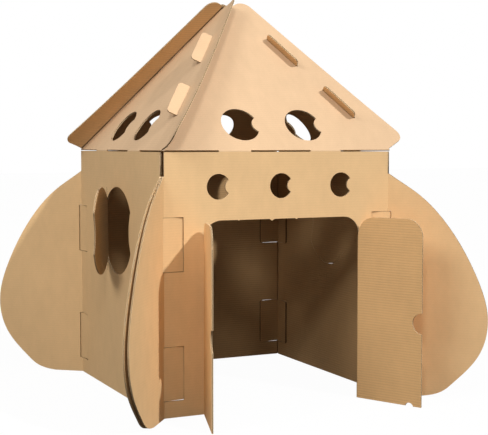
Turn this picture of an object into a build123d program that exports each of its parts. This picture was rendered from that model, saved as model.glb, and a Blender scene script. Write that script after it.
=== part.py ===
# Cardboard rocket playhouse.
#
# Four large sheets of corrugated board, each folded from one flat blank, stand round a square cabin.
# A sheet is a wall, a triangular roof panel folded inward along the wall's top, and two fin halves
# folded outward along the wall's upright edges. Neighbouring fin halves lie back to back and make the
# four rocket fins. Each roof panel has a flange past its right hip with two slots, and the next panel
# pushes two tabs through them. Eight folded corner keys pass through windows at the fin roots and
# hold the walls together. The front sheet has a doorway with two leaves folded outward, and the side
# sheets have a round hatch with a bite in its edge, open on the left and still closed on the right.
#
# Frame: millimetres, +Z up, origin on the floor at the centre of the cabin, front wall facing -Y.

import os
from math import acos, atan2, cos, degrees, hypot, radians, sin, sqrt, tan

from build123d import *

os.makedirs("parts", exist_ok=True)

# Board and fits
board = 5.0                 # thickness of the corrugated board
fit = 0.3                   # clearance between pieces that touch
cut_line = 1.2              # width of a die-cut line round a part that stays in its opening

# Cabin
wall_side = 850.0           # outer width of each wall
wall_height = 850.0         # floor to the roof crease
roof_rise = 532.0           # height of the roof above the crease

# Roof crease: slits leave two uncut bridges between wall and roof
slit_height = 3.0
bridge_width = 115.0
bridge_spacing = 336.0

# Fins
fin_reach = 338.0           # from the cabin's corner to the fin's widest point
fin_top = 772.0             # height at which the fin leaves the wall
fin_lean = 6.5              # degrees between each pair of fin halves and the corner's diagonal
fin_gap = 3.0               # between two fin halves at their folds
fin_splay = 1.2             # degrees by which the two halves spread apart from there
corner_relief = 1.6         # how far the wall's free edge above the fin stands back from the fold
# Outline from the top down to the foot: share of the reach, share of the top's height
fin_outline = [(0.293, 0.907), (0.618, 0.751), (0.879, 0.544), (0.997, 0.350),
               (0.893, 0.181), (0.654, 0.065), (0.320, 0.0)]
fin_top_slope = (1, -0.72)
fin_foot_slope = (-1, -0.10)

# Corner keys and the windows that they fill
key_height = 172.0
key_leg = 88.0              # from the cabin's corner to the tip of a leg
key_tip_corner = 8.0
key_middles = (142.0, 555.0)
key_overhang = 4.0          # how far the key's bend stands out of the cabin's corner
window_reach = 76.0         # from the cabin's corner to the window's far edge
window_top_gap = 1.0
window_bottom_gap = 1.5
window_fin_reach = 4.5      # how far the window runs into the fin, past the cabin's corner

# Doorway and its two leaves
door_left = 145.0           # from the wall's left corner to the left jamb
door_right = 125.0          # from the wall's right corner to the right jamb
door_height = 628.0
door_corner = 62.0
leaf_width = 250.0
leaf_drop = 2.0             # how much lower a leaf is than the doorway
leaf_free_corner = 60.0
left_leaf_angle = 108.0     # degrees from closed
right_leaf_angle = 116.0
finger_radius = 35.0        # half-round finger notch in a leaf's free edge
finger_height = 280.0
nick_radius = 16.0          # nick in the right leaf's foot
nick_depth = 11.0
nick_place = 205.0          # from the hinge
# Stubs of torn bridges on the lintel: place from the left jamb, width, drop
lintel_stubs = [(125.0, 8.0, 3.0), (246.0, 18.0, 6.0), (337.0, 9.0, 3.5)]

# Round openings with a bite in the right side: half height of the bite and place of its deepest
# point, both as shares of the radius
porthole_radius = 41.5
porthole_height = 737.0
porthole_spacing = 227.0
porthole_bite = (0.50, 0.57)
hatch_radius = 153.0
hatch_height = 572.0
hatch_bite = (0.457, 0.77)
hatch_hinge = 115.0         # from the hatch's centre to its hinge crease
hatch_angle = 29.0          # degrees that the left hatch stands open
roof_window_radius = 67.0
roof_window_rise = 109.0    # up the slope, from the crease to the window's centre
roof_window_spacing = 236.0
roof_window_bite = (0.43, 0.66)

# Roof flange, tabs and slots, measured along the hip from the eave and square to it
flange_foot = 102.0         # width of the flange at the eave
flange_head = 62.5          # width of the flange at its top
flange_start = 8.0
flange_stop = 22.0          # how far below the peak the flange ends
flange_foot_corner = 34.0
flange_head_corner = 42.0
tab_width = 148.0
tab_reach = 38.0            # how far a tab stands past the hip
tab_corner = 14.0
tab_places = (246.0, 524.0)
slot_play = 1.5

# Worked out from the sizes above
half_side = wall_side / 2
roof_angle = atan2(roof_rise, half_side)
eave_half = half_side - board + board * sin(roof_angle)
slope_length = eave_half / cos(roof_angle)
hip_length = hypot(eave_half, slope_length)
hip_angle = atan2(slope_length, eave_half)
hip_turn = acos(cos(roof_angle) ** 2)
left_fin_angle = radians(45 - fin_lean)
right_fin_angle = radians(45 + fin_lean - fin_splay)
leaf_height = door_height - leaf_drop
hatch_hinge_half = sqrt((hatch_radius - cut_line) ** 2 - hatch_hinge ** 2)
window_spans = [(middle - key_height / 2 - window_bottom_gap, middle + key_height / 2 + window_top_gap)
                for middle in key_middles]

wall_plane = Plane(origin=(0, -half_side, 0), x_dir=(1, 0, 0), z_dir=(0, -1, 0))
roof_plane = Plane(origin=(0, -eave_half, wall_height + board * cos(roof_angle)), x_dir=(1, 0, 0),
                   z_dir=(0, -sin(roof_angle), cos(roof_angle)))


def panel(points, radii=0.0):
    """A flat outline with straight sides and the given corner radii."""
    return make_face(FilletPolyline(*points, radius=radii, close=True))


def box_face(left, bottom, right, top):
    """An upright rectangle between two corners."""
    return Pos((left + right) / 2, (bottom + top) / 2) * Rectangle(right - left, top - bottom)


def slab(face, plane):
    """A flat piece of board whose outer side is the face, laid on the plane."""
    return extrude(plane * face, -board)


def fold(plane, start, sweep, length):
    """The board stretched round a fold: a sector of one board's radius, drawn out along the crease."""
    arc = CenterArc((0, 0), board, degrees(start), degrees(sweep))
    sector = make_face([Line((0, 0), arc @ 0), arc, Line(arc @ 1, (0, 0))])
    return extrude(plane * sector, length)


def moon(radius, bite):
    """A disc with a smaller round bite in its right side."""
    half_height, deepest = bite[0] * radius, bite[1] * radius
    cusp = sqrt(radius ** 2 - half_height ** 2)
    bite_radius = ((cusp - deepest) ** 2 + half_height ** 2) / (2 * (cusp - deepest))
    return Circle(radius) - Pos(deepest + bite_radius, 0) * Circle(bite_radius)


def fin_root(fin_angle):
    """Distance along the wall from the cabin's corner to the fin's fold."""
    return (board + fin_gap / 2) / cos(fin_angle)


def fin(fin_angle):
    """The fin half on a wall's right side, with its fold. The angle is from the wall's normal."""
    root = fin_root(fin_angle)
    corner = root * sin(fin_angle)
    fold_line = (half_side - root, -half_side)
    plane = Plane(origin=(*fold_line, 0), x_dir=(sin(fin_angle), -cos(fin_angle), 0),
                  z_dir=(-cos(fin_angle), -sin(fin_angle), 0))
    points = [(0, fin_top)] + [(corner + out * fin_reach, up * fin_top) for out, up in fin_outline]
    edge = Spline(*points, tangents=[fin_top_slope, fin_foot_slope])
    face = make_face([Line((0, 0), edge @ 0), edge, Line(edge @ 1, (0, 0))])
    for low, high in window_spans:
        face -= box_face(-board, low, corner + window_fin_reach, high)
    solid = slab(face, plane)
    levels = [0, *window_spans[0], *window_spans[1], fin_top]
    for low, high in zip(levels[::2], levels[1::2]):
        crease = Plane(origin=(*fold_line, low))
        solid += fold(crease, fin_angle, radians(90) - fin_angle, high - low)
    return solid


def wall_face():
    """The wall's outline, with its key windows and its free edges above the fins."""
    left = fin_root(left_fin_angle) - half_side
    right = half_side - fin_root(right_fin_angle)
    top = wall_height - slit_height / 2
    face = panel([(left, 0), (right, 0), (right, fin_top), (right - corner_relief, fin_top),
                  (right - corner_relief, top), (left + corner_relief, top),
                  (left + corner_relief, fin_top), (left, fin_top)])
    for low, high in window_spans:
        face -= box_face(-half_side, low, window_reach - half_side, high)
        face -= box_face(half_side - window_reach, low, half_side, high)
    return face


def hip_point(along, off, side=1):
    """A point of the roof panel, along the hip on the given side and square to it."""
    across = eave_half - along * cos(hip_angle) + off * sin(hip_angle)
    return (side * across, along * sin(hip_angle) + off * cos(hip_angle))


def roof_face():
    """A roof panel: a triangle with tabs on its left edge and a slotted flange on its right."""
    foot = slit_height / 2
    flange_top = hip_length - flange_stop
    left_edge = (board + fit) / sin(hip_turn)
    peak_off = (flange_stop * sin(2 * hip_angle) - left_edge) / cos(2 * hip_angle)
    left_foot = (left_edge + foot * cos(hip_angle)) / sin(hip_angle) - eave_half
    face = panel([(left_foot, foot), (eave_half - foot / tan(hip_angle), foot),
                  hip_point(flange_start, 0), hip_point(flange_start, flange_foot),
                  hip_point(flange_top, flange_head), hip_point(flange_top, peak_off)],
                 [0, 0, 0, flange_foot_corner, flange_head_corner, 0])

    tab_root = 2 * left_edge
    tab = panel([(-tab_width / 2, -tab_root), (tab_width / 2, -tab_root),
                 (tab_width / 2, tab_reach), (-tab_width / 2, tab_reach)],
                [0, 0, tab_corner, tab_corner])
    slot_low = -board / sin(hip_turn) - slot_play
    slot_high = board / tan(hip_turn) + slot_play
    slot_width = slot_high - slot_low
    slot = Pos(0, (slot_low + slot_high) / 2) * SlotOverall(tab_width + slot_width / 2, slot_width)
    for place in tab_places:
        face += Pos(*hip_point(place, 0, side=-1)) * Rot(0, 0, degrees(hip_angle)) * tab
        face -= Pos(*hip_point(place, 0)) * Rot(0, 0, -degrees(hip_angle)) * slot
    for side in (-1, 1):
        place = Pos(side * roof_window_spacing / 2, roof_window_rise)
        face -= place * moon(roof_window_radius, roof_window_bite)
    return face


def bridges():
    """The two uncut bridges, where the board bends from the wall into the roof."""
    strip = Rectangle(bridge_width, slit_height)
    parts = []
    for side in (-1, 1):
        middle = side * bridge_spacing / 2
        crease = Plane(origin=(middle - bridge_width / 2, board - half_side, wall_height),
                       x_dir=(0, 1, 0), z_dir=(1, 0, 0))
        bend = radians(90) - roof_angle
        parts.append(slab(Pos(middle, wall_height - slit_height / 2) * strip, wall_plane))
        parts.append(slab(Pos(middle, slit_height / 2) * strip, roof_plane))
        parts.append(fold(crease, radians(180) - bend, bend, bridge_width))
    return parts


def flap(face, hinge, angle, low, high):
    """A flap cut from a wall and folded outward on an upright hinge at its left edge.

    The face is drawn from the hinge, which runs from low to high.
    """
    turn = radians(angle)
    plane = Plane(origin=(hinge, -half_side, 0), x_dir=(cos(turn), -sin(turn), 0),
                  z_dir=(-sin(turn), -cos(turn), 0))
    crease = Plane(origin=(hinge, -half_side, low))
    return slab(face, plane) + fold(crease, radians(90) - turn, turn, high - low)


def doorway_face():
    """The doorway, with stubs of the torn bridges left on its lintel."""
    left, right = door_left - half_side, half_side - door_right
    face = panel([(left, -board), (right, -board), (right, door_height), (left, door_height)],
                 [0, 0, door_corner, door_corner])
    for place, width, drop in lintel_stubs:
        middle = left + place
        face -= panel([(middle - width / 2, door_height), (middle, door_height - drop),
                       (middle + width / 2, door_height)])
    return face


def leaf_face():
    """A door leaf drawn from its hinge, with the finger notch in its free edge."""
    face = panel([(0, 0), (leaf_width, 0), (leaf_width, leaf_height), (0, leaf_height)],
                 [0, 0, leaf_free_corner, door_corner])
    return face - Pos(leaf_width, finger_height) * Circle(finger_radius)


def hatch_face(inset=0.0):
    """The hatch: a moon cut straight at its hinge crease, smaller all round by the inset."""
    return moon(hatch_radius - inset, hatch_bite) & box_face(-hatch_hinge, -hatch_radius,
                                                             hatch_radius, hatch_radius)


def sheet(openings=None, flaps=()):
    """One folded sheet, standing as the front one, less the openings and with the flaps."""
    wall = wall_face()
    if openings:
        wall -= openings
    solid = slab(wall, wall_plane)
    for part in [slab(roof_face(), roof_plane), *bridges(), fin(right_fin_angle),
                 mirror(fin(left_fin_angle), Plane.YZ), *flaps]:
        solid += part
    return solid


def front_sheet():
    """Doorway, two open leaves and a row of portholes."""
    openings = doorway_face()
    for step in (-1, 0, 1):
        openings += Pos(step * porthole_spacing, porthole_height) * moon(porthole_radius, porthole_bite)
    straight = leaf_height - door_corner
    nick_middle = nick_radius - nick_depth
    nicked_leaf = leaf_face() - Pos(nick_place, -nick_middle) * Circle(nick_radius)
    left_leaf = flap(leaf_face(), door_left - half_side, left_leaf_angle, 0, straight)
    right_leaf = flap(nicked_leaf, door_right - half_side, right_leaf_angle, 0, straight)
    return sheet(openings, [left_leaf, mirror(right_leaf, Plane.YZ)])


def open_hatch_sheet():
    """Side sheet with its hatch folded outward."""
    place = Pos(0, hatch_height)
    flap_face = Pos(hatch_hinge, hatch_height) * hatch_face(cut_line)
    hatch = flap(flap_face, -hatch_hinge, hatch_angle,
                 hatch_height - hatch_hinge_half, hatch_height + hatch_hinge_half)
    return sheet(place * hatch_face(), [hatch])


def closed_hatch_sheet():
    """Side sheet with its hatch cut round but still shut."""
    return sheet(Pos(0, hatch_height) * (hatch_face() - hatch_face(cut_line)))


def corner_key():
    """A folded key for a corner at the origin, with walls along +X and +Y, standing on its foot.

    Its bend lies in the corner, and its legs slope inward through the windows, so that their tips
    tuck behind the walls.
    """
    toe = atan2(board + fit + key_overhang, window_reach - board + key_overhang)
    bend_line = board * cos(toe)
    leg = (key_leg + key_overhang - bend_line) / cos(toe)
    face = panel([(0, 0), (leg, 0), (leg, key_height), (0, key_height)],
                 [0, key_tip_corner, key_tip_corner, 0])
    plane = Plane(origin=(bend_line + board * sin(toe), 0, 0), x_dir=(cos(toe), sin(toe), 0),
                  z_dir=(sin(toe), -cos(toe), 0))
    front_leg = slab(face, plane)
    side_leg = mirror(front_leg, Plane(origin=(0, 0, 0), z_dir=(1, -1, 0)))
    crease = Plane(origin=(bend_line, bend_line, 0))
    bend = fold(crease, radians(180) - toe, radians(90) + 2 * toe, key_height)
    return Pos(-key_overhang, -key_overhang) * (front_leg + side_leg + bend)


sheets = {"front_sheet": front_sheet(), "right_sheet": closed_hatch_sheet(),
          "back_sheet": sheet(), "left_sheet": open_hatch_sheet()}
for quarter, (name, solid) in enumerate(sheets.items()):
    export_step(Rot(0, 0, 90 * quarter) * solid, f"parts/{name}.step")

key = corner_key()
for quarter, corner in enumerate(("front_left", "front_right", "back_right", "back_left")):
    for level, middle in zip(("lower", "upper"), key_middles):
        seat = Pos(-half_side, -half_side, middle - key_height / 2)
        export_step(Rot(0, 0, 90 * quarter) * seat * key, f"parts/{corner}_{level}_key.step")
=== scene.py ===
# Looks of the cardboard rocket playhouse: kraft board with flutes, cut edges and creases.

from math import atan2, cos, pi, radians, sin, sqrt

import bmesh
import bpy
from mathutils import Matrix, Vector
from mathutils.bvhtree import BVHTree


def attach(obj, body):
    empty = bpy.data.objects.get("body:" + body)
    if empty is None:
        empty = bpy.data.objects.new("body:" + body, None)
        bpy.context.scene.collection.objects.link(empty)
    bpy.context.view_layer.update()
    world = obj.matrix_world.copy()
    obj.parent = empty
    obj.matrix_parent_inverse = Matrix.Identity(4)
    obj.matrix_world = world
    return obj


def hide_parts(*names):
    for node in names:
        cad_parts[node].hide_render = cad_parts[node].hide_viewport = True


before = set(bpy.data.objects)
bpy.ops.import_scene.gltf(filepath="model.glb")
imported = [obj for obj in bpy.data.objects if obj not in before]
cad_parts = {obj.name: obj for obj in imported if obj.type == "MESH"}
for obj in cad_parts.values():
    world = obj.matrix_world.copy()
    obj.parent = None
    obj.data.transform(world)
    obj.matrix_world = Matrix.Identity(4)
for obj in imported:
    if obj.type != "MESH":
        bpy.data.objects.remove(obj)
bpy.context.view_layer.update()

# Sizes in metres, as the CAD model has them
BOARD = 0.005               # thickness of the board
FIT = 0.0003                # clearance between pieces that touch
FIN_GAP = 0.003             # between two fin halves at their folds
FLUTE_PITCH = 0.0087
HALF_SIDE = 0.425           # half the outer width of the cabin
WALL_HEIGHT = 0.850
ROOF_RISE = 0.532
ROOF_ANGLE = atan2(ROOF_RISE, HALF_SIDE)
ROOF_SLOPE = 0.69           # more than the length of a roof panel up its slope
FIN_LEAN = radians(6.5)
FIN_SPLAY = radians(1.2)
FIN_TOP = 0.772
LEAF_HINGE_TOP = 0.564      # where the fold of a door leaf ends
LEAF_TOP = 0.626
DOOR_LEFT = 0.145           # from the wall's left corner to the left jamb
DOOR_RIGHT = 0.125          # from the wall's right corner to the right jamb
LEFT_LEAF_ANGLE = radians(108)
RIGHT_LEAF_ANGLE = radians(116)
HATCH_HINGE = 0.115         # from the wall's middle to the fold of the open hatch
HATCH_ANGLE = radians(29)
HATCH_HEIGHT = 0.572
HATCH_RADIUS = 0.153
HATCH_HINGE_HALF = 0.0991   # half the length of the hatch's fold
HATCH_EDGE = 0.01           # from the hatch's fold to where the wall's flutes may be hollowed again
KEY_WINDOW = 0.076          # from the cabin's corner to the far edge of a key's window
KEY_OVERHANG = 0.004
KEY_TOE = atan2(BOARD + FIT + KEY_OVERHANG, KEY_WINDOW - BOARD + KEY_OVERHANG)
KEY_HEIGHT = 0.172
KEY_FEET = (("lower", 0.056), ("upper", 0.469))

# Sizes of the flutes' hollows, and tolerances
LINER = 0.0008              # thickness of a liner
HOLLOW_WIDTH = 0.0062       # a hollow between two waves, at the liner
HOLLOW_REACH = 0.014        # how far the hollows are cut into the board from its edges
HOLLOW_CORNER = 0.0012      # how much of a hollow's corner is rounded off
SHORTEST_HOLLOW = 0.001
TOUCH = 0.00005             # how near to a plane a point counts as on it
MERGE = 0.00001             # vertices nearer than this are one
PAST_EDGE = 0.0001          # a step past an edge that a ray has hit

# Colours and tones
LEAF_PAINTED_LIGHT = 0.60            # how much the right leaf's paper is brightened, as painted light
HIP_PAINTED_SHADE = 0.25            # tone of the painted shade in the fold where a roof panel meets a flange
HIP_SHADE_EDGES = (0.006, 0.009) # past the hip, where that painted shade starts to fade and where it ends
CUT_EDGE = (0.92, 0.70, 0.45)
# painted shade of the hollows drawn on a cut edge
CUT_SHADE = (0.66, 0.44, 0.235)
# painted shade on the faces of the cut-out hollows and of the slits around keys
HOLLOW_PAINTED_SHADE = (0.16, 0.09, 0.035)

SIDES = ("front", "right", "back", "left")
CORNERS = ("front_left", "front_right", "back_right", "back_left")


class Panel:
    """A flat stretch of board: a point of its outer face, the way along its flutes, its outward normal."""

    def __init__(self, start, along, outward, start_v=0.0):
        self.start = Vector(start)
        self.along = Vector(along).normalized()
        self.outward = Vector(outward).normalized()
        self.across = self.outward.cross(self.along)
        if self.across.z < 0:
            self.across.negate()
        self.start_v = start_v

    def mirrored(self):
        """The same panel on the other side of the wall's middle."""
        return Panel(*((-p.x, p.y, p.z) for p in (self.start, self.along, self.outward)))

    def place(self, point):
        """The point's distance along the flutes, across them and into the board."""
        offset = point - self.start
        return (offset.dot(self.along), offset.dot(self.across) + self.start_v, -offset.dot(self.outward))


def hinged_panel(x, angle):
    """A panel that turns outward from the wall on an upright crease at x, from lying to its right."""
    return Panel((x, -HALF_SIDE, 0), (cos(angle), -sin(angle), 0), (-sin(angle), -cos(angle), 0))


def fin_root(lean):
    """Distance from the cabin's corner to the fold of a fin half."""
    return (BOARD + FIN_GAP / 2) / cos(lean)


def fin_panel(lean):
    """The fin half at the wall's right edge, with the angle between it and the wall's normal."""
    start = (HALF_SIDE - fin_root(lean), -HALF_SIDE, 0)
    return Panel(start, (sin(lean), -cos(lean), 0), (-cos(lean), -sin(lean), 0))


WALL = Panel((0, -HALF_SIDE, 0), (1, 0, 0), (0, -1, 0))
ROOF = Panel((0, BOARD - HALF_SIDE - BOARD * sin(ROOF_ANGLE), WALL_HEIGHT + BOARD * cos(ROOF_ANGLE)),
             (1, 0, 0), (0, -sin(ROOF_ANGLE), cos(ROOF_ANGLE)), WALL_HEIGHT)
RIGHT_FIN_LEAN = pi / 4 + FIN_LEAN - FIN_SPLAY
LEFT_FIN_LEAN = pi / 4 - FIN_LEAN
RIGHT_FIN = fin_panel(RIGHT_FIN_LEAN)
LEFT_FIN = fin_panel(LEFT_FIN_LEAN).mirrored()
LEFT_LEAF = hinged_panel(DOOR_LEFT - HALF_SIDE, LEFT_LEAF_ANGLE)
RIGHT_LEAF = hinged_panel(DOOR_RIGHT - HALF_SIDE, RIGHT_LEAF_ANGLE).mirrored()
HATCH_FLAP = hinged_panel(-HATCH_HINGE, HATCH_ANGLE)
FULL = 0.60                 # past every edge of a panel
SHY = 0.001                 # how far the hollows stay from a fold
WALL_LEFT = fin_root(LEFT_FIN_LEAN) - HALF_SIDE + SHY
WALL_RIGHT = HALF_SIDE - fin_root(RIGHT_FIN_LEAN) - SHY

# Where the flutes of each panel may be hollowed: a range across the flutes, and the ranges along them
WALL_HEAD = (FIN_TOP, WALL_HEIGHT, [(-FULL, FULL)])
PLAIN_WALL = [(0, FIN_TOP, [(WALL_LEFT, WALL_RIGHT)]), WALL_HEAD]
DOOR_WALL = [(0, LEAF_HINGE_TOP, [(WALL_LEFT, DOOR_LEFT - HALF_SIDE - SHY),
                                  (HALF_SIDE - DOOR_RIGHT + SHY, WALL_RIGHT)]),
             (LEAF_HINGE_TOP, FIN_TOP, [(WALL_LEFT, WALL_RIGHT)]), WALL_HEAD]
HATCH_WALL = [(0, HATCH_HEIGHT - HATCH_HINGE_HALF, [(WALL_LEFT, WALL_RIGHT)]),
              (HATCH_HEIGHT - HATCH_HINGE_HALF, HATCH_HEIGHT + HATCH_HINGE_HALF,
               [(WALL_LEFT, -HATCH_HINGE - SHY), (HATCH_EDGE - HATCH_HINGE, WALL_RIGHT)]),
              (HATCH_HEIGHT + HATCH_HINGE_HALF, FIN_TOP, [(WALL_LEFT, WALL_RIGHT)]), WALL_HEAD]
FIN_ZONES = [(0, FIN_TOP, [(SHY, FULL)])]
LEAF_ZONES = [(0, LEAF_HINGE_TOP, [(SHY, FULL)]), (LEAF_HINGE_TOP, LEAF_TOP, [(SHY / 3, FULL)])]
ROOF_ZONES = [(WALL_HEIGHT, WALL_HEIGHT + ROOF_SLOPE, [(-FULL, FULL)])]
FLAP_ZONES = [(HATCH_HEIGHT - HATCH_RADIUS, HATCH_HEIGHT + HATCH_RADIUS, [(SHY, FULL)])]
FOLDED = [(ROOF, ROOF_ZONES), (RIGHT_FIN, FIN_ZONES), (LEFT_FIN, FIN_ZONES)]
SHEET_PANELS = {
    "front": [(WALL, DOOR_WALL), *FOLDED, (LEFT_LEAF, LEAF_ZONES), (RIGHT_LEAF, LEAF_ZONES)],
    "right": [(WALL, PLAIN_WALL), *FOLDED],
    "back": [(WALL, PLAIN_WALL), *FOLDED],
    "left": [(WALL, HATCH_WALL), *FOLDED, (HATCH_FLAP, FLAP_ZONES)],
}
key_foot = -HALF_SIDE - KEY_OVERHANG
key_start = key_foot + BOARD * cos(KEY_TOE) + BOARD * sin(KEY_TOE)
toe_cos, toe_sin = cos(KEY_TOE), sin(KEY_TOE)
KEY_PANELS = [Panel((key_start, key_foot, 0), (toe_cos, toe_sin, 0), (toe_sin, -toe_cos, 0)),
              Panel((key_foot, key_start, 0), (toe_sin, toe_cos, 0), (-toe_cos, toe_sin, 0))]

# The roof flange: its place on the roof panel, and how far its outer edge curls off the panel's plane
# at its foot, middle and head
EAVE_HALF = HALF_SIDE - BOARD + BOARD * sin(ROOF_ANGLE)
HIP_LENGTH = sqrt(EAVE_HALF ** 2 + (EAVE_HALF / cos(ROOF_ANGLE)) ** 2)
HIP_ANGLE = atan2(1, cos(ROOF_ANGLE))
HIP_FOOT = ROOF.start + ROOF.along * EAVE_HALF
UP_HIP = -ROOF.along * cos(HIP_ANGLE) + ROOF.across * sin(HIP_ANGLE)
OFF_HIP = ROOF.along * sin(HIP_ANGLE) + ROOF.across * cos(HIP_ANGLE)
FLANGE_BEND = 0.013         # past the hip, where the curl begins
FLANGE_WIDTH = 0.085        # past the hip, where the curl is as stated
FLANGE_STRIP = 0.010
FLANGE_STRIPS = 8
FLANGE_LENGTHS = 16
CURL_POWER = 1.5
FLANGE_CURLS = {"back_sheet": (-0.013, -0.019, -0.007), "left_sheet": (0.020, 0.009, 0.020),
                "front_sheet": (-0.002, -0.005, -0.002), "right_sheet": (-0.003, -0.009, -0.004)}


def group_socket(group, name, direction, kind="NodeSocketFloat"):
    group.interface.new_socket(name, in_out=direction, socket_type=kind)


def new_group(name, inputs, outputs):
    """A shader node group with the place on the board as its first input, and its two end nodes."""
    group = bpy.data.node_groups.new(name, "ShaderNodeTree")
    group_socket(group, "Board Place", "INPUT", "NodeSocketVector")
    for socket in inputs:
        group_socket(group, socket, "INPUT")
    for socket in outputs:
        group_socket(group, socket, "OUTPUT")
    return group, group.nodes.new("NodeGroupInput"), group.nodes.new("NodeGroupOutput")


def math_node(tree, operation, *values):
    """A Math node, with numbers or other nodes' outputs as its inputs. Returns its output."""
    node = tree.nodes.new("ShaderNodeMath")
    node.operation = operation
    for socket, value in zip(node.inputs, values):
        if isinstance(value, (int, float)):
            socket.default_value = value
        else:
            tree.links.new(value, socket)
    return node.outputs[0]


def separated(tree, vector):
    """The X, Y and Z of a vector, as the outputs of a node."""
    node = tree.nodes.new("ShaderNodeSeparateXYZ")
    tree.links.new(vector, node.inputs[0])
    return node.outputs


def scaled(tree, colour, factor):
    """A colour, given as numbers or as another node's output, times a factor."""
    node = tree.nodes.new("ShaderNodeVectorMath")
    node.operation = "SCALE"
    if isinstance(colour, bpy.types.NodeSocket):
        tree.links.new(colour, node.inputs[0])
    else:
        node.inputs[0].default_value = colour
    tree.links.new(factor, node.inputs["Scale"])
    return node.outputs[0]


def mix_colour(tree, factor, first, second):
    node = tree.nodes.new("ShaderNodeMix")
    node.data_type = "RGBA"
    for socket, value in ((node.inputs[0], factor), (node.inputs[6], first), (node.inputs[7], second)):
        if isinstance(value, bpy.types.NodeSocket):
            tree.links.new(value, socket)
        else:
            socket.default_value = value
    return node.outputs[2]


def noise(tree, vector, scale, detail=2.0, roughness=0.5):
    node = tree.nodes.new("ShaderNodeTexNoise")
    node.inputs["Scale"].default_value = scale
    node.inputs["Detail"].default_value = detail
    node.inputs["Roughness"].default_value = roughness
    tree.links.new(vector, node.inputs["Vector"])
    return node.outputs["Fac"]


def stretched(tree, vector, scale):
    node = tree.nodes.new("ShaderNodeVectorMath")
    node.operation = "MULTIPLY"
    node.inputs[1].default_value = scale
    tree.links.new(vector, node.inputs[0])
    return node.outputs[0]


def swing(tree, value, amount):
    """A noise value turned about its middle into plus or minus half the amount."""
    return math_node(tree, "MULTIPLY", math_node(tree, "SUBTRACT", value, 0.5), amount)


def make_kraft_group():
    """Paper tone and relief: cloudy mottling, and fibres that run across the flutes."""
    group, start, end = new_group("kraft_paper", [], ["Tone", "Fibre"])
    place = start.outputs["Board Place"]
    clouds = noise(group, place, 4.0, 3.0)
    patches = noise(group, stretched(group, place, (26.0, 12.0, 12.0)), 1.0, 4.0, 0.65)
    fibres = noise(group, stretched(group, place, (900.0, 260.0, 400.0)), 1.0, 3.0, 0.65)
    slow = math_node(group, "ADD", swing(group, clouds, 0.16), swing(group, patches, 0.17))
    tone = math_node(group, "ADD", 1.0, math_node(group, "ADD", slow, swing(group, fibres, 0.26)))
    group.links.new(tone, end.inputs["Tone"])
    group.links.new(fibres, end.inputs["Fibre"])
    return group


def swayed_across(group, place, stretch, detail, amount):
    """The distance across the flutes, swayed a little so that no line is quite straight."""
    sway = noise(group, stretched(group, place, stretch), 1.0, detail)
    return math_node(group, "ADD", separated(group, place)["Y"], math_node(group, "MULTIPLY", sway, amount))


def make_washboard_group():
    """The liner sinks a little between the flutes, so that their crests show as fine level ribs."""
    group, start, end = new_group("washboard", [], ["Height"])
    across = swayed_across(group, start.outputs["Board Place"], (2.5, 6.0, 1.0), 1.0, 0.003)
    turn = math_node(group, "MULTIPLY", across, pi / FLUTE_PITCH)
    rib = math_node(group, "POWER", math_node(group, "ABSOLUTE", math_node(group, "SINE", turn)), 0.7)
    group.links.new(rib, end.inputs["Height"])
    return group


def make_flute_group():
    """The look of a cut edge: two liners, the wavy medium between them, and the hollows, which get a
    painted shade.
    """
    group, start, end = new_group("flute_edge", ["Depth"], ["Paper"])
    depth = start.outputs["Depth"]
    across = swayed_across(group, start.outputs["Board Place"], (60.0, 9.0, 1.0), 2.0, 0.004)
    wave = math_node(group, "SINE", math_node(group, "MULTIPLY", across, 2 * pi / FLUTE_PITCH))
    middle = math_node(group, "MULTIPLY_ADD", wave, 0.36, 0.5)
    from_medium = math_node(group, "ABSOLUTE", math_node(group, "SUBTRACT", depth, middle))
    medium = math_node(group, "SMOOTH_MIN", 1.0, math_node(group, "DIVIDE", from_medium, 0.16), 0.1)
    medium = math_node(group, "SUBTRACT", 1.0, medium)
    from_middle = math_node(group, "ABSOLUTE", math_node(group, "SUBTRACT", depth, 0.5))
    liner = group.nodes.new("ShaderNodeMapRange")
    liner.inputs["From Min"].default_value = 0.34
    liner.inputs["From Max"].default_value = 0.42
    group.links.new(from_middle, liner.inputs["Value"])
    group.links.new(math_node(group, "MAXIMUM", liner.outputs[0], medium), end.inputs["Paper"])
    return group


KRAFT = make_kraft_group()
WASHBOARD = make_washboard_group()
FLUTE_EDGE = make_flute_group()


def new_material(name, roughness, specular=0.35):
    material = bpy.data.materials.new(name)
    material.use_nodes = True
    shader = material.node_tree.nodes["Principled BSDF"]
    shader.inputs["Roughness"].default_value = roughness
    shader.inputs["Specular IOR Level"].default_value = specular
    return material, material.node_tree, shader


def uv_place(tree, layer):
    node = tree.nodes.new("ShaderNodeUVMap")
    node.uv_map = layer
    return node.outputs[0]


def group_node(tree, group, place):
    node = tree.nodes.new("ShaderNodeGroup")
    node.node_tree = group
    tree.links.new(place, node.inputs["Board Place"])
    return node


def bump(tree, shader, layers):
    """Bump nodes in a row, one for each (height, distance in metres)."""
    normal = None
    for height, distance in layers:
        node = tree.nodes.new("ShaderNodeBump")
        node.inputs["Distance"].default_value = distance
        tree.links.new(height, node.inputs["Height"])
        if normal:
            tree.links.new(normal, node.inputs["Normal"])
        normal = node.outputs[0]
    tree.links.new(normal, shader.inputs["Normal"])


def hip_shade(tree, past_hip):
    """Painted shade in the fold where the next roof panel meets the flange: dark there, and 1 elsewhere."""
    near = tree.nodes.new("ShaderNodeMapRange")
    near.interpolation_type = "SMOOTHSTEP"
    near.inputs["From Min"].default_value = HIP_SHADE_EDGES[0]
    near.inputs["From Max"].default_value = HIP_SHADE_EDGES[1]
    near.inputs["To Min"].default_value = HIP_PAINTED_SHADE
    tree.links.new(past_hip, near.inputs["Value"])
    before_hip = math_node(tree, "LESS_THAN", past_hip, -0.02)
    return math_node(tree, "MAXIMUM", near.outputs[0], before_hip)


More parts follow.
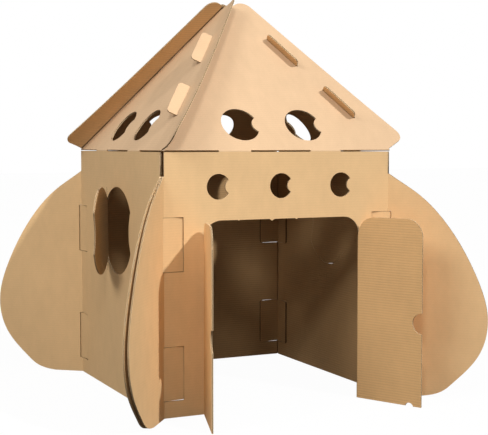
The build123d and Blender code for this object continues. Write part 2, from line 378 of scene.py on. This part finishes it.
def liner_material(name, colour, roof_colour, rib_relief, rib_shade, paints_hip_shade):
    """A liner's paper. The mark layer holds the distance past the roof's hip, for the painted shade of the
    hip's fold, and 1 on the right leaf, which gets painted light.
    """
    material, tree, shader = new_material(name, 0.78)
    place = uv_place(tree, "board")
    kraft = group_node(tree, KRAFT, place)
    ribs = group_node(tree, WASHBOARD, place)
    shade = math_node(tree, "MULTIPLY_ADD", ribs.outputs["Height"], rib_shade, 1.0 - rib_shade)
    tone = math_node(tree, "MULTIPLY", kraft.outputs["Tone"], shade)
    marks = separated(tree, uv_place(tree, "mark"))
    # painted light: the right leaf's paper is brightened
    tone = math_node(tree, "MULTIPLY", tone, math_node(tree, "MULTIPLY_ADD", marks["Y"], LEAF_PAINTED_LIGHT, 1.0))
    # painted shade along the hip's fold
    if paints_hip_shade:
        tone = math_node(tree, "MULTIPLY", tone, hip_shade(tree, marks["X"]))
    on_roof = math_node(tree, "GREATER_THAN", separated(tree, place)["Y"], WALL_HEIGHT)
    paper = mix_colour(tree, on_roof, (*colour, 1), (*roof_colour, 1))
    tree.links.new(scaled(tree, paper, tone), shader.inputs["Base Color"])
    bump(tree, shader, [(ribs.outputs["Height"], rib_relief), (kraft.outputs["Fibre"], 0.00006)])
    return material


def cut_material(name, colour, hollow):
    """A cut edge's paper, with painted shade in its hollows. The depth layer holds the share of the board's
    thickness from its outer face.
    """
    material, tree, shader = new_material(name, 0.9, 0.15)
    place = uv_place(tree, "board")
    flutes = group_node(tree, FLUTE_EDGE, place)
    tree.links.new(separated(tree, uv_place(tree, "depth"))["X"], flutes.inputs["Depth"])
    kraft = group_node(tree, KRAFT, place)
    paper = scaled(tree, colour, kraft.outputs["Tone"])
    tree.links.new(mix_colour(tree, flutes.outputs["Paper"], (*hollow, 1), paper),
                   shader.inputs["Base Color"])
    bump(tree, shader, [(flutes.outputs["Paper"], 0.0012)])
    return material


OUTER, INNER, CUT, HOLLOW = 0, 1, 2, 3
BOARD_MATERIALS = [
    liner_material("outer_liner", (0.74, 0.485, 0.243), (0.625, 0.425, 0.255),
                   rib_relief=0.00010, rib_shade=0.04, paints_hip_shade=False),
    # inner liner: its own paper tone, darkened on the walls as painted shade for the dark inside of the
    # cabin
    liner_material("inner_liner", (0.52, 0.315, 0.140), (0.66, 0.41, 0.19),
                   rib_relief=0.00034, rib_shade=0.15, paints_hip_shade=True),
    cut_material("cut_edge", CUT_EDGE, CUT_SHADE),
    # the hollows' material is a painted shade
    cut_material("flute_hollow_painted_shade", HOLLOW_PAINTED_SHADE, HOLLOW_PAINTED_SHADE)]


def select_only(piece):
    bpy.ops.object.select_all(action="DESELECT")
    piece.select_set(True)
    bpy.context.view_layer.objects.active = piece


def inside_board(depths):
    return min(depths) > -TOUCH and max(depths) < BOARD + TOUCH


def face_role(face, points, panels, arc_is_outer):
    """The panel that a face belongs to, its kind, and whether it is a flat liner."""
    for panel in panels:
        depths = [panel.place(p)[2] for p in points]
        if max(abs(d) for d in depths) < TOUCH:
            return panel, OUTER, True
        if max(abs(d - BOARD) for d in depths) < TOUCH:
            return panel, INNER, True
    for panel in panels:
        depths = [panel.place(p)[2] for p in points]
        if abs(face.normal.dot(panel.outward)) < 0.02 and inside_board(depths):
            return panel, CUT, False
    return panels[0], OUTER if arc_is_outer(face) else INNER, False


def flange_place(point):
    """The point's distance past the right hip of the roof panel, and up the hip from its foot."""
    offset = point - HIP_FOOT
    return offset.dot(OFF_HIP), offset.dot(UP_HIP)


def comb_flange(piece):
    """Cuts the roof flange into strips along the hip and short lengths, so that it can curl."""
    bpy.ops.object.mode_set(mode="EDIT")
    cuts = [(OFF_HIP, FLANGE_BEND + step * FLANGE_STRIP) for step in range(FLANGE_STRIPS)]
    cuts += [(UP_HIP, step * HIP_LENGTH / FLANGE_LENGTHS) for step in range(1, FLANGE_LENGTHS)]
    for way, distance in cuts:
        body = bmesh.from_edit_mesh(piece.data)
        for face in body.faces:
            middle = face.calc_center_median()
            on_roof = -TOUCH < ROOF.place(middle)[2] < BOARD + TOUCH and middle.z > WALL_HEIGHT
            past_bend = max(flange_place(v.co)[0] for v in face.verts) > FLANGE_BEND + TOUCH
            face.select_set(on_roof and past_bend)
        bmesh.update_edit_mesh(piece.data)
        bpy.ops.mesh.bisect(plane_co=HIP_FOOT + way * distance, plane_no=way)
    bpy.ops.object.mode_set(mode="OBJECT")


def curl_flange(mesh, foot, middle, head):
    """Lifts the flange towards its outer edge, by amounts given at its foot, middle and head."""
    for vertex in mesh.vertices:
        off, up = flange_place(vertex.co)
        if off < FLANGE_BEND or not -BOARD < ROOF.place(vertex.co)[2] < 2 * BOARD:
            continue
        share = up / HIP_LENGTH
        rise = (foot * (1 - share) * (1 - 2 * share) + 4 * middle * share * (1 - share)
                + head * share * (2 * share - 1))
        reach = (off - FLANGE_BEND) / (FLANGE_WIDTH - FLANGE_BEND)
        vertex.co += ROOF.outward * rise * reach ** CURL_POWER


def hollow_template():
    """One hollow of the flutes: a rounded triangle, flat side on the outer liner, one metre long."""
    height = BOARD - 3 * LINER
    bpy.ops.mesh.primitive_circle_add(vertices=3, radius=height / 1.5, fill_type="NGON")
    hollow = bpy.context.object
    bpy.ops.object.mode_set(mode="EDIT")
    bpy.ops.mesh.select_all(action="SELECT")
    bpy.ops.transform.resize(value=(HOLLOW_WIDTH / (height / 1.5 * sqrt(3)), 1, 1))
    bpy.ops.transform.translate(value=(0, LINER + height / 3, 0))
    bpy.ops.mesh.bevel(offset=HOLLOW_CORNER, segments=2, affect="VERTICES")
    bpy.ops.mesh.select_all(action="SELECT")
    bpy.ops.mesh.extrude_region_move(TRANSFORM_OT_translate={"value": (0, 0, 1)})
    bpy.ops.mesh.select_all(action="SELECT")
    bpy.ops.mesh.normals_make_consistent(inside=False)
    bpy.ops.object.mode_set(mode="OBJECT")
    points = [(v.co.z, v.co.x, v.co.y) for v in hollow.data.vertices]
    faces = [tuple(face.vertices) for face in hollow.data.polygons]
    bpy.data.objects.remove(hollow)
    return points, faces


def edge_places(tree, panel, across, start, end):
    """Where the board's cut edges cross a line along the flutes, half way through the board."""
    origin = panel.start + panel.across * (across - panel.start_v) - panel.outward * BOARD / 2
    places = []
    reached = start
    while reached < end:
        hit = tree.ray_cast(origin + panel.along * reached, panel.along, end - reached)
        if hit[0] is None:
            break
        reached += hit[3] + PAST_EDGE
        places.append(reached)
    return places


def hollow_spans(places, start, end):
    """Stretches of the flutes near their cut ends, joined where they meet."""
    spans = []
    for place in places:
        low, high = max(place - HOLLOW_REACH, start), min(place + HOLLOW_REACH, end)
        if spans and low <= spans[-1][1]:
            spans[-1][1] = high
        else:
            spans.append([low, high])
    return [span for span in spans if span[1] - span[0] > SHORTEST_HOLLOW]


def hollow_cutters(mesh, panels):
    """All the hollows of a piece, as one mesh."""
    tree = BVHTree.FromPolygons([v.co for v in mesh.vertices], [tuple(f.vertices) for f in mesh.polygons])
    lowest, highest = min(v.co.z for v in mesh.vertices), max(v.co.z for v in mesh.vertices)
    points, faces = [], []
    for panel, zones in panels:
        turned = panel.along.cross(panel.across).dot(-panel.outward) < 0
        for zone_low, zone_high, ranges in zones:
            first = int(zone_low / FLUTE_PITCH * 2) - 1
            last = int(zone_high / FLUTE_PITCH * 2) + 2
            for row in range(first, last):
                across = row * FLUTE_PITCH / 2
                if across - HOLLOW_WIDTH / 2 < zone_low or across + HOLLOW_WIDTH / 2 > zone_high:
                    continue
                flipped = row % 2 == 0
                for start, end in ranges:
                    for low, high in hollow_spans(edge_places(tree, panel, across, start, end), start, end):
                        base = len(points)
                        for along, side, depth in HOLLOW_POINTS:
                            if flipped:
                                depth = BOARD - depth
                            points.append(panel.start + panel.along * (low + along * (high - low))
                                          + panel.across * (across + side - panel.start_v)
                                          - panel.outward * depth)
                        for face in HOLLOW_FACES:
                            order = face[::-1] if turned != flipped else face
                            faces.append([base + i for i in order])
    cutters = bpy.data.meshes.new("hollows")
    cutters.from_pydata(points, [], faces)
    return cutters


def cut_hollows(piece, panels):
    """Cuts the hollows out of a piece. The new faces get the hollows' material, a painted shade."""
    cutters = bpy.data.objects.new("hollows", hollow_cutters(piece.data, panels))
    bpy.context.scene.collection.objects.link(cutters)
    for material in BOARD_MATERIALS:
        cutters.data.materials.append(material)
    for face in cutters.data.polygons:
        face.material_index = HOLLOW
    select_only(piece)
    drill = piece.modifiers.new("drill", "BOOLEAN")
    drill.operation = "DIFFERENCE"
    drill.object = cutters
    drill.solver = "MANIFOLD"
    drill.material_mode = "INDEX"
    bpy.ops.object.modifier_apply(modifier=drill.name)
    bpy.data.objects.remove(cutters)


def in_slit(panel, middle):
    """Whether a cut face stands in the narrow slit around a key, where it gets the hollows' painted shade.
    """
    along, across = panel.place(middle)[:2]
    beside_key = abs(along) > HALF_SIDE - 0.07 and 0.01 < across < WALL_HEIGHT - 0.05
    return panel in KEY_PANELS or panel is WALL and beside_key


def hollow_panel(face, points, panels):
    """The panel that a hollow's face lies in."""
    for panel in panels:
        depths = [panel.place(p)[2] for p in points]
        if inside_board(depths) and face.normal.dot(panel.along) ** 2 < 0.001:
            return panel
    return panels[0]


def dress_faces(mesh, panels, curled, arc_is_outer):
    """Gives each face its material and its places on the board. Returns the faces to shade smooth."""
    while mesh.uv_layers:
        mesh.uv_layers.remove(mesh.uv_layers[0])
    board_uv = mesh.uv_layers.new(name="board")
    depth_uv = mesh.uv_layers.new(name="depth")
    mark_uv = mesh.uv_layers.new(name="mark")
    rounded = set()
    for face in mesh.polygons:
        points = [mesh.vertices[i].co for i in face.vertices]
        if face.material_index == HOLLOW:
            panel, role, flat = hollow_panel(face, points, panels), HOLLOW, False
        else:
            panel, role, flat = face_role(face, points, panels, arc_is_outer)
        # cut faces in the slits around keys get the hollows' painted shade
        face.material_index = HOLLOW if role == CUT and in_slit(panel, face.center) else role
        least_past_hip = min(flange_place(p)[0] for p in points)
        if not flat or curled and panel is ROOF and least_past_hip > FLANGE_BEND - TOUCH:
            rounded.add(face.index)
        for loop, point in zip(face.loop_indices, points):
            along, across, depth = panel.place(point)
            board_uv.data[loop].uv = (along + panels.index(panel), across)
            depth_uv.data[loop].uv = (depth / BOARD, 0.0)
            # The mark layer carries the distance past the hip for its painted shade, and the right leaf's
            # painted light
            past_hip = flange_place(point)[0] if panel is ROOF else -1.0
            mark_uv.data[loop].uv = (past_hip, 1.0 if panel is RIGHT_LEAF else 0.0)
    return rounded


def board_piece(node, panels, quarter, arc_is_outer):
    """A copy of a sheet or key with fluted cut edges, places on the board and a material for each face."""
    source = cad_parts[node]
    piece = bpy.data.objects.new(f"{node}_board", source.data.copy())
    bpy.context.scene.collection.objects.link(piece)
    select_only(piece)
    bpy.ops.mesh.customdata_custom_splitnormals_clear()
    bpy.ops.object.mode_set(mode="EDIT")
    bpy.ops.mesh.select_all(action="SELECT")
    bpy.ops.mesh.remove_doubles(threshold=MERGE)
    bpy.ops.object.mode_set(mode="OBJECT")
    turn_back = Matrix.Rotation(-quarter * pi / 2, 4, "Z")
    piece.data.transform(turn_back)
    piece.data.materials.clear()
    for material in BOARD_MATERIALS:
        piece.data.materials.append(material)
    curl = FLANGE_CURLS.get(node)
    if curl:
        comb_flange(piece)
    for face in piece.data.polygons:
        face.material_index = OUTER
    cut_hollows(piece, panels)
    mesh = piece.data
    rounded = dress_faces(mesh, [panel for panel, zones in panels], curl is not None, arc_is_outer)
    if curl:
        curl_flange(mesh, *curl)
    mesh.transform(turn_back.inverted())
    bpy.ops.object.shade_smooth_by_angle(angle=radians(30))
    for face in mesh.polygons:
        face.use_smooth = face.index in rounded
    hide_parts(node)
    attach(piece, "root")


HOLLOW_POINTS, HOLLOW_FACES = hollow_template()
for quarter, side in enumerate(SIDES):
    board_piece(f"{side}_sheet", SHEET_PANELS[side], quarter, lambda face: face.normal.z > 0.01)
for quarter, corner in enumerate(CORNERS):
    for level, low in KEY_FEET:
        zones = [(low, low + KEY_HEIGHT, [(SHY, FULL)])]
        key_panels = [(panel, zones) for panel in KEY_PANELS]
        board_piece(f"{corner}_{level}_key", key_panels, quarter, lambda face: True)


# Light, stage and camera
SKY_COLOUR = (1.0, 0.965, 0.90, 1)
SKY_RISE = (0.25, 0.80, 0.0, 0.50)   # heights where the sky's light starts and is full, and its strengths
SKY_SIDE = (-0.36, -0.22)            # how the sky's light grows toward +X and +Y
FLOOR_BOUNCE = 0.11
FLOOR_GLOW = 0.97                    # share of its own white that the floor shows the camera
FLOOR_GREY = 0.80
WHITE = (1, 1, 1, 1)
HOUSE_MIDDLE = (0, 0, 0.6)
KEY_WAY = (0.347, -0.695, 0.63)


def seen_directly(tree):
    """1 for what the camera sees, also in gloss or through glass, and 0 for light that bounces."""
    path = tree.nodes.new("ShaderNodeLightPath")
    beyond = math_node(tree, "MAXIMUM", path.outputs["Is Glossy Ray"], path.outputs["Is Transmission Ray"])
    return math_node(tree, "MAXIMUM", path.outputs["Is Camera Ray"], beyond)


def mixed_shaders(tree, factor, first, second, output):
    mix = tree.nodes.new("ShaderNodeMixShader")
    for socket, value in zip(mix.inputs, (factor, first, second)):
        tree.links.new(value, socket)
    tree.links.new(mix.outputs[0], tree.nodes[output].inputs["Surface"])


def make_stage():
    """A pale floor that runs out of sight, white to the camera but still shaded under the house."""
    bpy.ops.mesh.primitive_plane_add(size=60, location=(0, 0, 0))
    floor = bpy.context.object
    floor.name = "floor"
    material, tree, shader = new_material("pale_floor", 0.9, 0.0)
    seen = seen_directly(tree)
    tree.links.new(mix_colour(tree, seen, (*[FLOOR_BOUNCE] * 3, 1), (*[FLOOR_GREY] * 3, 1)),
                   shader.inputs["Base Color"])
    glow = tree.nodes.new("ShaderNodeEmission")
    glow.inputs["Strength"].default_value = 1.0
    glowing = math_node(tree, "MULTIPLY", seen, FLOOR_GLOW)
    mixed_shaders(tree, glowing, shader.outputs[0], glow.outputs[0], "Material Output")
    floor.data.materials.append(material)


def make_world():
    """A sky that lights the house from above and is plain white to the camera."""
    world = bpy.data.worlds.new("studio")
    bpy.context.scene.world = world
    world.use_nodes = True
    tree = world.node_tree
    light = tree.nodes["Background"]
    light.inputs["Color"].default_value = SKY_COLOUR
    way = separated(tree, tree.nodes.new("ShaderNodeTexCoord").outputs["Generated"])
    rise = tree.nodes.new("ShaderNodeMapRange")
    rise.interpolation_type = "SMOOTHSTEP"
    for name, value in zip(("From Min", "From Max", "To Min", "To Max"), SKY_RISE):
        rise.inputs[name].default_value = value
    tree.links.new(way["Z"], rise.inputs["Value"])
    side = math_node(tree, "ADD", math_node(tree, "MULTIPLY", way["X"], SKY_SIDE[0]),
                     math_node(tree, "MULTIPLY", way["Y"], SKY_SIDE[1]))
    strength = math_node(tree, "MULTIPLY", rise.outputs[0], math_node(tree, "ADD", side, 1.0))
    tree.links.new(strength, light.inputs["Strength"])
    white = tree.nodes.new("ShaderNodeBackground")
    white.inputs["Color"].default_value = WHITE
    white.inputs["Strength"].default_value = 1.0
    mixed_shaders(tree, seen_directly(tree), light.outputs[0], white.outputs[0], "World Output")


def new_lamp(kind, name, place, target, power):
    bpy.ops.object.light_add(type=kind, location=place)
    lamp = bpy.context.object
    lamp.name = name
    lamp.data.energy = power
    lamp.rotation_euler = (Vector(target) - lamp.location).to_track_quat("-Z", "Y").to_euler()
    return lamp.data


def softbox(name, place, width, height, power):
    lamp = new_lamp("AREA", name, place, HOUSE_MIDDLE, power)
    lamp.shape = "RECTANGLE"
    lamp.size = width
    lamp.size_y = height


def sun(name, way, strength, angle):
    """A far lamp whose light comes from the given direction."""
    new_lamp("SUN", name, way, (0, 0, 0), strength).angle = angle


def make_camera():
    """The photo's camera: almost level, from the front left."""
    bpy.ops.object.camera_add(location=(-1.7026, -3.7213, 0.8738),
                              rotation=(radians(90 - 3.74), 0, radians(-25.41)))
    camera = bpy.context.object
    camera.data.sensor_fit = "HORIZONTAL"
    camera.data.sensor_width = 36.0
    camera.data.lens = 82.82
    bpy.context.scene.camera = camera


make_stage()
make_world()
sun("key_light", KEY_WAY, 2.38, radians(2.0))
softbox("front_fill", (-2.2, -4.2, 3.9), 0.7, 0.7, 82)
softbox("left_fill", (-4.3, -2.0, 3.9), 2.2, 1.8, 135)
make_camera()
bpy.context.scene.view_settings.view_transform = "Standard"
